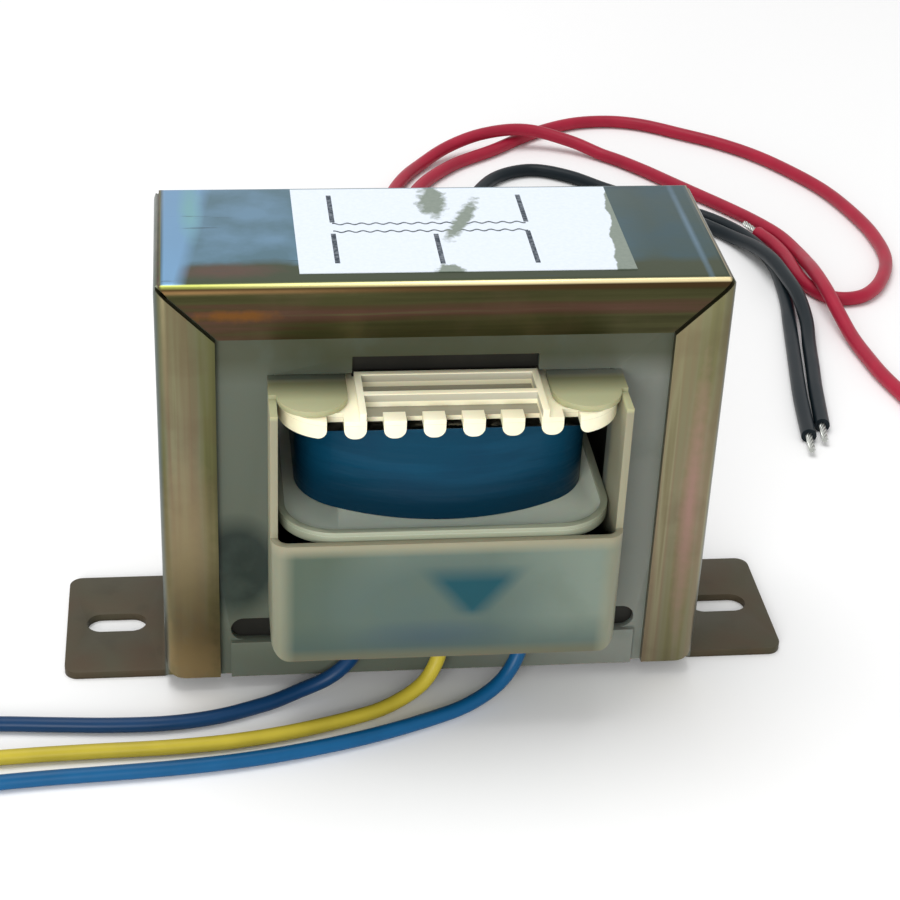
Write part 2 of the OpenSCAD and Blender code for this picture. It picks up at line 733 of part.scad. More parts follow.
// Round lead swept along a path
module lead(path, d) {
    dirs = tangents(path);
    side = sides(dirs, [1, 0.3, 0.2]);
    n = len(path);
    points = [for (i = [0 : n - 1], k = [0 : lead_sides - 1])
        let (a = 360 * (k + 0.5) / lead_sides)
        path[i] + d / 2 * (cos(a) * side[i] + sin(a) * cross(dirs[i], side[i]))];
    walls = [for (i = [0 : n - 2], k = [0 : lead_sides - 1])
        let (a = i * lead_sides + k, b = i * lead_sides + (k + 1) % lead_sides)
        [a, a + lead_sides, b + lead_sides, b]];
    caps = [[for (k = [0 : lead_sides - 1]) k],
        [for (k = [lead_sides - 1 : -1 : 0]) (n - 1) * lead_sides + k]];
    polyhedron(points, concat(walls, caps), convexity = 10);
}

// Tinned strands in line with the end of a path
module tinned_end(path, d) {
    dir = last(tangents(path));
    translate(last(path)) rotate([0, acos(dir.z), atan2(dir.y, dir.x)]) cylinder(d = d, h = end_len);
}

module red_lead_a() {
    color("#a92a44") lead(red_path_a, primary_lead_d);
}

module red_lead_b() {
    color("#a92a44") lead(red_path_b, primary_lead_d);
}

module black_lead_a() {
    color("#17242a") lead(black_path_a, primary_lead_d);
}

module black_lead_b() {
    color("#17242a") lead(black_path_b, primary_lead_d);
}

module blue_lead_a() {
    color("#184a86") lead(blue_path_a, secondary_lead_d);
}

module yellow_lead() {
    color("#c8b83e") lead(yellow_path, secondary_lead_d);
}

module blue_lead_b() {
    color("#1c6a9c") lead(blue_path_b, secondary_lead_d);
}

module tinned(path, d) {
    color("#b9bcb8") tinned_end(path, d);
}

frame();
e_laminations();
i_laminations();
bobbin();
primary_winding();
secondary_winding();
primary_tape();
secondary_tape();
front_cover();
rear_cover();
label();
red_lead_a();
red_lead_b();
black_lead_a();
black_lead_b();
blue_lead_a();
yellow_lead();
blue_lead_b();
tinned(red_path_a, primary_strand_d);  // red_end_a
tinned(red_path_b, primary_strand_d);  // red_end_b
tinned(black_path_a, primary_strand_d);  // black_end_a
tinned(black_path_b, primary_strand_d);  // black_end_b
tinned(blue_path_a, secondary_strand_d);  // blue_end_a
tinned(yellow_path, secondary_strand_d);  // yellow_end
tinned(blue_path_b, secondary_strand_d);  // blue_end_b
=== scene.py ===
"""Looks of a laminated chassis transformer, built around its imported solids.

Run as a script it registers its operators, calls them in order and leaves the dressed model
with its stage and camera in the open scene.
"""

import math

import bmesh
import bpy
from mathutils import Matrix, Vector


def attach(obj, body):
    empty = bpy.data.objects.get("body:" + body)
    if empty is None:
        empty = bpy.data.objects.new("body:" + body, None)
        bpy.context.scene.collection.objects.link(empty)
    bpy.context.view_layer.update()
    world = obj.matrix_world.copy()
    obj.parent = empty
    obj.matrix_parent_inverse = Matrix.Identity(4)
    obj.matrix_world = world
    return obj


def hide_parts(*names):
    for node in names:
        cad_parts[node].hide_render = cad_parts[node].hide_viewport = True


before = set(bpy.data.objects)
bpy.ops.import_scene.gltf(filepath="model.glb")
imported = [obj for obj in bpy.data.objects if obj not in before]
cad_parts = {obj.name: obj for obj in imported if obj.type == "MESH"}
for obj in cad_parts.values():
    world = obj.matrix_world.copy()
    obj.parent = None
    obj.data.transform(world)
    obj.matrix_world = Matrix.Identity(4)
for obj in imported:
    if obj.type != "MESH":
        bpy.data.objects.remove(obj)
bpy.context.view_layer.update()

bl_info = {
    "name": "Laminated Chassis Transformer",
    "version": (1, 0, 0),
    "blender": (4, 5, 0),
    "location": "3D View > Sidebar > Transformer",
    "description": "Dresses the solids of a laminated chassis transformer with its real finishes",
    "category": "Object",
}

MM = 0.001
ROOT = "root"


def linear(code):
    """An sRGB hex colour as the linear red, green, blue and alpha that Blender works in."""
    channels = [int(code[i : i + 2], 16) / 255 for i in (1, 3, 5)]
    return tuple(c / 12.92 if c <= 0.04045 else ((c + 0.055) / 1.055) ** 2.4 for c in channels) + (1.0,)


# ---- routes of the leads, in millimetres, as in the part's source ----

PRIMARY_D = 2.8
SECONDARY_D = 2.2
PRIMARY_STRAND_D = 1.3
SECONDARY_STRAND_D = 1.0
END_LEN = 5.0
STRAND_STEPS = 10
PRIMARY_OUT_Y = 22.88
PRIMARY_START_Z = 43.9
COIL_CROWN_R = 32.35
SECONDARY_START_Z = 16.1
SECONDARY_EXIT_Z = 12.4
SECONDARY_Y = 18.0

FALL = [(0, 0), (5, 0), (10, -2), (15, -7), (19, -15), (22, -25), (26, -34)]

RED_FLOOR_A = [(-3, 56, 1.2), (-2, 66, 0), (0, 88, 0), (2, 112, 0), (5, 137, 0), (10, 158, 0),
    (16, 170, 0), (24, 178, 1.6), (33, 182.5, 3), (43, 184.5, 3), (53, 181.5, 1.4),
    (61, 175.5, 0), (67.5, 168, 0), (72.5, 161, 0), (77.5, 154, 0), (82.5, 147, 0),
    (87, 140, 0), (90.6, 132.5, 0), (92.3, 124, 0.2), (92.3, 118, 1.2), (92, 112, 2.4),
    (91.9, 106, 3), (92, 100, 3), (92.6, 94, 1.8), (93.4, 87, 0.4), (94.2, 80, 0),
    (95.2, 72, 0), (97.2, 63, 0), (100, 52, 0), (104, 41, 0), (109, 31, 0)]
RED_FLOOR_B = [(2, 56, 1.2), (3, 66, 0), (5, 90, 0), (7, 115, 0), (10, 140, 0), (15, 158, 0),
    (24, 171, 0), (35, 180, 0), (45, 189, 0), (55, 195, 0), (64, 196.5, 0), (72, 194.5, 0),
    (81, 188.5, 0), (89, 182.5, 0), (96, 175, 0), (102, 165.5, 0), (106.5, 156, 0),
    (109.5, 145, 0), (111.2, 133, 0), (110.5, 121, 0), (106.5, 111, 0), (101.5, 104.8, 0),
    (97, 103.2, 0), (93.4, 104.4, 0), (91.2, 107.8, 0), (90, 112, 0), (89.6, 117, 0),
    (89.3, 123, 0), (88.2, 129, 0), (86.2, 134.5, 0)]
BLACK_FLOOR_A = [(8, 56, 1.2), (9, 66, 0), (12, 92, 0), (17, 120, 0), (22, 142, 0),
    (28, 156, 0), (34, 165, 0), (42, 168.5, 0), (50, 165, 0), (57, 158, 0), (64, 152, 0),
    (72, 146.5, 0), (78, 141, 0), (82.5, 134, 0), (85, 126, 0), (85.8, 118, 0), (85.3, 110, 0),
    (84.3, 102, 0), (82.8, 94, 0), (81.3, 86, 0), (79.8, 78, 0), (78.3, 70, 0),
    (77, 62.5, 0), (75.2, 50, 0)]
BLACK_FLOOR_B = [(14, 56, 1.2), (15, 66, 0), (18, 92, 0), (23, 118, 0), (28, 136, 0),
    (35, 147, 0), (45, 151.5, 0), (55, 151, 0), (63, 148.5, 0), (70, 144, 0), (75.5, 138.8, 0),
    (80, 132, 0.3), (82.8, 124, 1.8), (84.3, 116, 2.9), (85.2, 108, 3), (85.8, 100, 2.6),
    (85.6, 92, 1.2), (84.2, 84, 0.1), (82.7, 76, 0), (81.1, 68, 0), (79.8, 60.5, 0),
    (78.6, 53.5, 0)]
BLUE_FLOOR_A = [(-11.2, -18, 9), (-12.6, -18.1, 5.2), (-15.6, -18.3, 2.2), (-20, -19.2, 0.6),
    (-25.5, -21.5, 0), (-32, -23.8, 0), (-39, -24.9, 0), (-47, -24.9, 0), (-55, -24.3, 0),
    (-63, -23.6, 0), (-72, -23.2, 0), (-81, -23.6, 0), (-90, -25, 0), (-99, -27.6, 0),
    (-107, -31, 0)]
YELLOW_FLOOR = [(0.9, -18.1, 9), (0.2, -18.8, 5.2), (-1.8, -20.2, 2.2), (-5.2, -22, 0.6),
    (-10, -24.3, 0), (-16, -26.4, 0), (-23, -28.3, 0), (-31, -29.7, 0), (-40, -30.4, 0),
    (-49, -30.6, 0), (-58, -30.9, 0), (-67, -31.5, 0), (-76, -32.6, 0), (-85, -34.4, 0),
    (-94, -37, 0)]
BLUE_FLOOR_B = [(12.9, -18.1, 9), (12, -18.9, 5.2), (9.8, -20.4, 2.2), (6.4, -22.4, 0.6),
    (1.6, -24.9, 0), (-5, -27.7, 0), (-12, -30.1, 0), (-20, -32.2, 0), (-29, -33.9, 0),
    (-38, -34.9, 0), (-47, -35.5, 0), (-56, -36, 0), (-65, -36.8, 0), (-74, -38.2, 0),
    (-83, -40.4, 0)]


def primary_route(x, floor):
    """Out of the coil's rear face, down, and along the floor."""
    near = max(abs(x) - PRIMARY_D / 2, 0)
    start_y = PRIMARY_OUT_Y - COIL_CROWN_R + math.sqrt(COIL_CROWN_R**2 - near**2)
    fall = [(x, start_y + y, PRIMARY_START_Z + z) for y, z in FALL]
    return [Vector(p) * MM for p in fall + [(x, y, z + PRIMARY_D / 2) for x, y, z in floor]]


def secondary_route(x, floor):
    """Down through the cup's floor, and along the floor."""
    drop = [(x, -SECONDARY_Y, SECONDARY_START_Z), (x, -SECONDARY_Y, SECONDARY_EXIT_Z)]
    return [Vector(p) * MM for p in drop + [(x, y, z + SECONDARY_D / 2) for x, y, z in floor]]


LEADS = {
    "red_lead_a": (primary_route(-4, RED_FLOOR_A), PRIMARY_D, "red_sleeve", "red_end_a"),
    "red_lead_b": (primary_route(2, RED_FLOOR_B), PRIMARY_D, "red_sleeve", "red_end_b"),
    "black_lead_a": (primary_route(8, BLACK_FLOOR_A), PRIMARY_D, "black_sleeve", "black_end_a"),
    "black_lead_b": (primary_route(14, BLACK_FLOOR_B), PRIMARY_D, "black_sleeve", "black_end_b"),
    "blue_lead_a": (secondary_route(-11, BLUE_FLOOR_A), SECONDARY_D, "dark_blue_sleeve", "blue_end_a"),
    "yellow_lead": (secondary_route(1, YELLOW_FLOOR), SECONDARY_D, "yellow_sleeve", "yellow_end"),
    "blue_lead_b": (secondary_route(13, BLUE_FLOOR_B), SECONDARY_D, "light_blue_sleeve", "blue_end_b"),
}


# ---- sizes and colours that a user would change ----


class TransformerSizes(bpy.types.PropertyGroup):
    """Sizes of what the finish adds to the solids"""

    sheet_edge: bpy.props.FloatProperty(
        name="Sheet edge", description="Rounding of the frame's cut edges",
        default=0.15 * MM, unit="LENGTH", precision=5)
    moulded_edge: bpy.props.FloatProperty(
        name="Moulded edge", description="Rounding of the mouldings' edges",
        default=0.22 * MM, unit="LENGTH", precision=5)
    strand_turns: bpy.props.FloatProperty(
        name="Strand turns", description="Turns that the strands of a tinned end make", default=0.7)


class TransformerColours(bpy.types.PropertyGroup):
    """Main colours of the finishes"""

    steel: bpy.props.FloatVectorProperty(
        name="Passivated steel", description="Pale streaks on the flanges and sides of the frame",
        subtype="COLOR", size=4, min=0, max=1, default=linear("#858066"))
    # The blue-grey on top is partly the steel and partly a painted reflection of the sky.
    steel_top: bpy.props.FloatVectorProperty(
        name="Steel on top", description="Top of the frame, where the film is thin",
        subtype="COLOR", size=4, min=0, max=1, default=linear("#66879e"))
    nylon: bpy.props.FloatVectorProperty(
        name="Bobbin", description="Cream nylon of the bobbin",
        subtype="COLOR", size=4, min=0, max=1, default=linear("#f4efd2"))
    milky: bpy.props.FloatVectorProperty(
        name="Covers", description="Milky moulding of the covers",
        subtype="COLOR", size=4, min=0, max=1, default=linear("#626f64"))
    tape: bpy.props.FloatVectorProperty(
        name="Tape", description="Tape round the windings",
        subtype="COLOR", size=4, min=0, max=1, default=linear("#02384f"))
    red: bpy.props.FloatVectorProperty(
        name="Red leads", description="Sleeves of the two red leads",
        subtype="COLOR", size=4, min=0, max=1, default=linear("#b3243f"))
    black: bpy.props.FloatVectorProperty(
        name="Black leads", description="Sleeves of the two black leads",
        subtype="COLOR", size=4, min=0, max=1, default=linear("#0a181f"))
    dark_blue: bpy.props.FloatVectorProperty(
        name="Dark blue lead", description="Sleeve of the dark blue lead",
        subtype="COLOR", size=4, min=0, max=1, default=linear("#0a3a64"))
    light_blue: bpy.props.FloatVectorProperty(
        name="Light blue lead", description="Sleeve of the light blue lead",
        subtype="COLOR", size=4, min=0, max=1, default=linear("#0b5888"))
    yellow: bpy.props.FloatVectorProperty(
        name="Yellow lead", description="Sleeve of the yellow lead",
        subtype="COLOR", size=4, min=0, max=1, default=linear("#c9b73c"))


# ---- tools ----


def add(tree, kind, inputs=None, stops=None, **settings):
    """Adds a node; an input is a value, a hex colour, a node or a node's output, and stops are a ramp's."""
    node = tree.nodes.new(kind)
    for name, value in settings.items():
        setattr(node, name, value)
    for name, value in (inputs or {}).items():
        if isinstance(value, bpy.types.Node):
            value = value.outputs[0]
        if isinstance(value, bpy.types.NodeSocket):
            tree.links.new(value, node.inputs[name])
        else:
            node.inputs[name].default_value = linear(value) if isinstance(value, str) else value
    for i, (place, colour) in enumerate(stops or []):
        elements = node.color_ramp.elements
        element = elements[i] if i < 2 else elements.new(place)
        element.position = place
        element.color = linear(colour) if isinstance(colour, str) else colour
    return node


def start_material(name):
    """An empty node material with its tree and the Object coordinates, in millimetres."""
    material = bpy.data.materials.new(name)
    material.use_nodes = True
    tree = material.node_tree
    tree.nodes.clear()
    metres = add(tree, "ShaderNodeTexCoord").outputs["Object"]
    place = add(tree, "ShaderNodeVectorMath", {0: metres, "Scale": 1 / MM}, operation="SCALE")
    return material, tree, place.outputs[0]


def close_material(tree, shader):
    """Joins the shader to the material's output."""
    add(tree, "ShaderNodeOutputMaterial", {"Surface": shader})


def spot(tree, place, centre, reach, fade=0.3, ragged=0.0):
    """A mask that is one inside an ellipsoid, given by centre and half-widths, and fades past its edge."""
    moved = add(tree, "ShaderNodeMapping", {"Vector": place,
        "Location": tuple(-c / r for c, r in zip(centre, reach)), "Scale": tuple(1 / r for r in reach)})
    away = add(tree, "ShaderNodeVectorMath", {0: moved}, operation="LENGTH").outputs["Value"]
    if ragged:
        tear = add(tree, "ShaderNodeTexNoise", {"Vector": place, "Scale": 1 / TEAR_SIZE, "Detail": 4.0})
        swing = add(tree, "ShaderNodeMapRange", {0: tear, 3: -ragged, 4: ragged})
        away = add(tree, "ShaderNodeMath", {0: away, 1: swing}, operation="ADD")
    return add(tree, "ShaderNodeMapRange", {0: away, 1: 1 + fade, 2: 1 - fade})


def painted(tree, ground, coats):
    """Lays colours over a ground colour, each through its mask."""
    for mask, colour in coats:
        ground = add(tree, "ShaderNodeMix", {0: mask, 6: ground, 7: colour}, data_type="RGBA").outputs[2]
    return ground


def link_object(name, data):
    """A new object at the origin that rides on the part."""
    obj = bpy.data.objects.new(name, data)
    bpy.context.scene.collection.objects.link(obj)
    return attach(obj, ROOT)


def finish_mesh(bm, name, material, smooth_angle=35):
    """Makes the mesh an object, smooth but for edges sharper than the angle in degrees."""
    mesh = bpy.data.meshes.new(name)
    bm.to_mesh(mesh)
    bm.free()
    mesh.materials.append(material)
    mesh.shade_smooth()
    mesh.set_sharp_from_angle(angle=math.radians(smooth_angle))
    return link_object(name, mesh)


# Doubles closer than this, in millimetres, are merged; faces within this angle, in degrees, are one.
MERGE = 0.002
FLAT_ANGLE = 0.5


def softened(node, name, width, material, segments=2, sharp=32):
    """A copy of a solid with its sharp edges rounded, which stands for the solid."""
    bm = bmesh.new()
    bm.from_mesh(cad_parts[node].data)
    bmesh.ops.remove_doubles(bm, verts=bm.verts, dist=MERGE * MM)
    bmesh.ops.dissolve_limit(bm, angle_limit=math.radians(FLAT_ANGLE), verts=bm.verts, edges=bm.edges)
    edges = [e for e in bm.edges if e.is_manifold and e.calc_face_angle(0) > math.radians(sharp)]
    bmesh.ops.bevel(bm, geom=edges, offset=width, offset_type="OFFSET", segments=segments,
        profile=0.5, affect="EDGES", clamp_overlap=True, material=-1)
    obj = finish_mesh(bm, name, material)
    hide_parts(node)
    return obj


# ---- materials: places and sizes in millimetres ----

FRAME_TOP = 66.6
FRAME_SIDE = 39.5
FLANGE_FACE = -16.2
FOOT_TOP = 1.2
BOBBIN_TOP = 51.6
RIDGE_TOP = 52.8
POCKET_FLOOR = 50.9
SHELF_TOP = 33.4
PANEL_TOP = 32.7
CUP_WALL = -27
TEAR_SIZE = 1.5
TOLERANCE = 0.01


def passivated_steel(colours):
    """Cold-rolled sheet with a yellow passivation film under clear lacquer, drawn through a folding tool.

    The film gives olive and gold with pinkish streaks along each run of the channel. On top the film is
    thin, and its blue-grey is partly the steel and partly a painted reflection of the sky; the bends carry
    a painted highlight. The feet are dull and browned.
    """
    material, tree, place = start_material("passivated_sheet_steel")
    x, y, z = add(tree, "ShaderNodeSeparateXYZ", {0: place}).outputs
    out = add(tree, "ShaderNodeMath", {0: x}, operation="ABSOLUTE")
    blot = add(tree, "ShaderNodeTexNoise", {"Vector": place, "Scale": 1 / 7, "Detail": 5.0})
    cloud = add(tree, "ShaderNodeTexNoise", {"Vector": place, "Scale": 1 / 9, "Detail": 5.0})

    # Down the sides: upright streaks 1 to 2 mm wide and some 50 mm long, paler on the right, darker above.
    along_z = add(tree, "ShaderNodeMapping", {"Vector": place, "Scale": (1, 1, 0.03)})
    side_streak = add(tree, "ShaderNodeTexNoise", {"Vector": along_z, "Scale": 1 / 3.4, "Detail": 3.0})
    side = add(tree, "ShaderNodeValToRGB", {0: side_streak}, stops=[
        (0.30, "#484831"), (0.42, "#646340"), (0.50, "#72715a"),
        (0.58, "#776653"), (0.66, colours.steel), (0.74, "#5e553a")])
    right = add(tree, "ShaderNodeMapRange", {0: x, 1: 20, 2: 36, 4: 0.32})
    high = add(tree, "ShaderNodeMapRange", {0: z, 1: 30, 2: 58, 4: 0.5})
    side = painted(tree, side, [(right, "#988f70"), (high, "#5a5a3a")])

    # Over the top run: level streaks, up to the mitres.
    along_x = add(tree, "ShaderNodeMapping", {"Vector": place, "Scale": (0.03, 1, 1)})
    top_streak = add(tree, "ShaderNodeTexNoise", {"Vector": along_x, "Scale": 1 / 2.2, "Detail": 4.0})
    front = add(tree, "ShaderNodeValToRGB", {0: top_streak}, stops=[
        (0.34, "#37361e"), (0.46, "#444328"), (0.54, "#483a28"), (0.64, "#543c31"), (0.72, "#56583a")])
    mitre = FRAME_TOP - FRAME_SIDE
    over = add(tree, "ShaderNodeMath", {0: z, 1: out}, operation="SUBTRACT")
    top_run = add(tree, "ShaderNodeMapRange", {0: over, 1: mitre, 2: mitre + 0.2})

    # Flecks, a burnt streak, golden places low on the left and a pinkish line on the right.
    fleck = add(tree, "ShaderNodeMapRange", {0: blot, 1: 0.5, 2: 0.72, 4: 0.3})
    film = painted(tree, side, [
        (top_run, front), (fleck, "#5a4a38"),
        (spot(tree, place, (-28.6, FLANGE_FACE, 62.2), (4.4, 3, 0.7), 0.6, 0.9), "#6e4822"),
        (spot(tree, place, (-36, FLANGE_FACE, 21), (3.4, 3, 12), 0.8, 0.3), "#8c7e5e"),
        (spot(tree, place, (-35, FLANGE_FACE, 6), (5, 3, 6), 0.6, 0.5), "#8a7650"),
        (spot(tree, place, (36.2, FLANGE_FACE, 30), (1.0, 3, 14), 0.9, 0.5), "#96786c")])

    # Thin film on top: clouds of two blue-greys, partly the steel and partly a painted reflection of the
    # sky, slate to the right.
    wash = add(tree, "ShaderNodeMapRange", {0: x, 1: 0, 2: 30})
    pale = painted(tree, colours.steel_top, [(wash, "#3a5258")])
    dull = painted(tree, "#527280", [(wash, "#3c4f4c")])
    clouded = add(tree, "ShaderNodeMapRange", {0: cloud, 1: 0.38, 2: 0.62})
    # Olive and brown by the front bend, pale blue painted reflections at the ends, dark scratches and dark
    # corners.
    wavy = add(tree, "ShaderNodeMapRange", {0: cloud, 3: -2, 4: 2})
    edge = add(tree, "ShaderNodeMath", {0: y, 1: wavy}, operation="ADD")
    olive = add(tree, "ShaderNodeMapRange", {0: edge, 1: -8.5, 2: -10.5})
    slant = add(tree, "ShaderNodeMath", {0: y, 1: -0.13, 2: x}, operation="MULTIPLY_ADD")
    left_reflection = add(tree, "ShaderNodeMapRange", {0: slant, 1: -33, 2: -35})
    scratch_run = add(tree, "ShaderNodeMapping",
        {"Vector": place, "Rotation": (0, 0, 0.6), "Scale": (0.12, 1, 1)})
    scratch = add(tree, "ShaderNodeTexNoise", {"Vector": scratch_run, "Scale": 1 / 1.6, "Detail": 5.0})
    scratched = add(tree, "ShaderNodeMapRange", {0: scratch, 1: 0.66, 2: 0.7, 4: 0.55})
    corner = add(tree, "ShaderNodeMapRange", {0: out, 1: FRAME_SIDE - 1.5, 2: FRAME_SIDE - 0.9})
    tops = painted(tree, dull, [
        (clouded, pale), (olive, "#3f4734"),
        (spot(tree, place, (-30, -11.5, 66.7), (6, 1.8, 2), 0.5, 0.4), "#56453a"),
        (left_reflection, "#7299bb"),
        (spot(tree, place, (-34.4, 8, 66.7), (1.2, 7, 2), 0.7, 0.3), "#74a4ac"),
        (spot(tree, place, (35.9, 0, 66.7), (0.35, 16, 2), 0.8, 0.2), "#607888"),
        (scratched, "#34444a"), (corner, "#2c3a3a")])
    on_top = add(tree, "ShaderNodeMapRange", {0: z, 1: FRAME_TOP - 0.2, 2: FRAME_TOP - 0.1})

    # Along the top bends a painted highlight: a bright line above, a brown line under it.
    glow = add(tree, "ShaderNodeMapRange", {0: x, 1: -34, 2: 8})
    bare_and_highlight = painted(tree, "#8c9048", [(glow, "#eedcaa")])
    inner = add(tree, "ShaderNodeMapRange", {0: out, 1: FRAME_SIDE - 0.8, 2: FRAME_SIDE - 1.2})
    wear_and_highlight = add(tree, "ShaderNodeMapRange", {0: z, 1: FRAME_TOP - 0.6, 2: FRAME_TOP - 0.4})
    bend_highlight = add(tree, "ShaderNodeMath", {0: wear_and_highlight, 1: inner}, operation="MULTIPLY")
    under = add(tree, "ShaderNodeMapRange", {0: z, 1: FRAME_TOP - 1.4, 2: FRAME_TOP - 1.0})
    brown_line = add(tree, "ShaderNodeMath", {0: under, 1: inner}, operation="MULTIPLY")
    # Painted reflection: a blue-grey cast over the frame's outer sides.
    side_reflection = add(tree, "ShaderNodeMapRange", {0: out, 1: FRAME_SIDE - 0.7, 2: FRAME_SIDE - 0.2, 4: 0.6})

    # Feet: dull olive brown with redder clouds and darker blots.
    red_cloud = add(tree, "ShaderNodeMapRange", {0: cloud, 1: 0.42, 2: 0.66, 4: 0.6})
    dark_blot = add(tree, "ShaderNodeMapRange", {0: blot, 1: 0.56, 2: 0.7, 4: 0.6})
    feet = painted(tree, "#3d3824", [(red_cloud, "#46321e"), (dark_blot, "#302a16")])
    low = add(tree, "ShaderNodeMapRange", {0: z, 1: FOOT_TOP + 2.4, 2: FOOT_TOP + 0.4})
    beyond = add(tree, "ShaderNodeMapRange", {0: out, 1: FRAME_SIDE - 0.3, 2: FRAME_SIDE + 0.3})
    foot = add(tree, "ShaderNodeMath", {0: low, 1: beyond}, operation="MULTIPLY")
    colour = painted(tree, film, [
        (side_reflection, "#5c6c72"), (brown_line, "#40301a"), (bend_highlight, bare_and_highlight), (on_top, tops), (foot, feet)])

    # The clouds vary the gloss, and the feet are dull. The rolled surface has marks 0.4 mm apart.
    metallic = add(tree, "ShaderNodeMapRange", {0: foot, 3: 0.92, 4: 0.35})
    rough = add(tree, "ShaderNodeMapRange", {0: cloud, 3: 0.26, 4: 0.46})
    rougher = add(tree, "ShaderNodeMath", {0: foot, 1: 0.2, 2: rough}, operation="MULTIPLY_ADD")
    grain = add(tree, "ShaderNodeTexNoise", {"Vector": place, "Scale": 1 / 0.8, "Detail": 3.0})
    bump = add(tree, "ShaderNodeBump", {"Height": grain, "Strength": 0.12, "Distance": 0.05 * MM})
    close_material(tree, add(tree, "ShaderNodeBsdfPrincipled", {
        "Base Color": colour, "Metallic": metallic, "Roughness": rougher, "Normal": bump}))
    return material


def varnished_core_steel():
    """Silicon steel sheets dipped in varnish: dark grey edges with an amber cast and a soft shine."""
    material, tree, place = start_material("varnished_silicon_steel")
    blot = add(tree, "ShaderNodeTexNoise", {"Vector": place, "Scale": 1 / 8, "Detail": 5.0})
    colour = painted(tree, "#191917", [(blot, "#302f2a")])
    grit = add(tree, "ShaderNodeTexNoise", {"Vector": place, "Scale": 1 / 0.5, "Detail": 2.0})
    bump = add(tree, "ShaderNodeBump", {"Height": grit, "Strength": 0.2, "Distance": 0.05 * MM})
    close_material(tree, add(tree, "ShaderNodeBsdfPrincipled", {
        "Base Color": colour, "Metallic": 0.7, "Roughness": 0.45, "Normal": bump}))
    return material


def cream_nylon(colours):
    """Moulded nylon: warm cream, light passing a little way in, with a fine eroded mould texture.

    The nylon below the upper winding is painted in grey-green shade, tinted by light off the windings, and
    the middle flange's top in a paler painted shade.
    """
    material, tree, place = start_material("moulded_cream_nylon")
    x, _, z = add(tree, "ShaderNodeSeparateXYZ", {0: place}).outputs
    age = add(tree, "ShaderNodeTexNoise", {"Vector": place, "Scale": 1 / 18, "Detail": 3.0})
    aged = add(tree, "ShaderNodeMapRange", {0: age, 1: 0.35, 2: 0.75})
    # Painted shade, grey-green from light off the windings, below the upper winding; the shelf's top is
    # painted a paler grey-green shade.
    low_shade = add(tree, "ShaderNodeMapRange", {0: z, 1: 44, 2: 40})
    shelf = add(tree, "ShaderNodeMath", {0: z, 1: SHELF_TOP, 2: TOLERANCE}, operation="COMPARE")
    # The tray's pockets and the sides of its ridges are in each other's shade.
    aside = add(tree, "ShaderNodeMath", {0: x}, operation="ABSOLUTE")
    between = add(tree, "ShaderNodeMapRange", {0: aside, 1: 11.9, 2: 11.8})
    ridge = add(tree, "ShaderNodeMath",
        {0: z, 1: RIDGE_TOP - 0.64, 2: 0.5}, operation="COMPARE")
    tray = add(tree, "ShaderNodeMath", {0: between, 1: ridge}, operation="MULTIPLY")
    pocket = add(tree, "ShaderNodeMath", {0: z, 1: POCKET_FLOOR, 2: TOLERANCE}, operation="COMPARE")
    colour = painted(tree, colours.nylon, [
        (aged, "#e6dcb4"), (low_shade, "#9aa08a"), (shelf, "#dde6d4"), (tray, "#b4b09a"), (pocket, "#8e8a76")])
    texture = add(tree, "ShaderNodeTexNoise", {"Vector": place, "Scale": 1 / 0.35, "Detail": 2.0})
    bump = add(tree, "ShaderNodeBump", {"Height": texture, "Strength": 0.1, "Distance": 0.04 * MM})
    close_material(tree, add(tree, "ShaderNodeBsdfPrincipled", {
        "Base Color": colour, "Roughness": 0.4, "IOR": 1.53,
        "Subsurface Weight": 0.15, "Subsurface Scale": 0.8 * MM, "Normal": bump}))
    return material


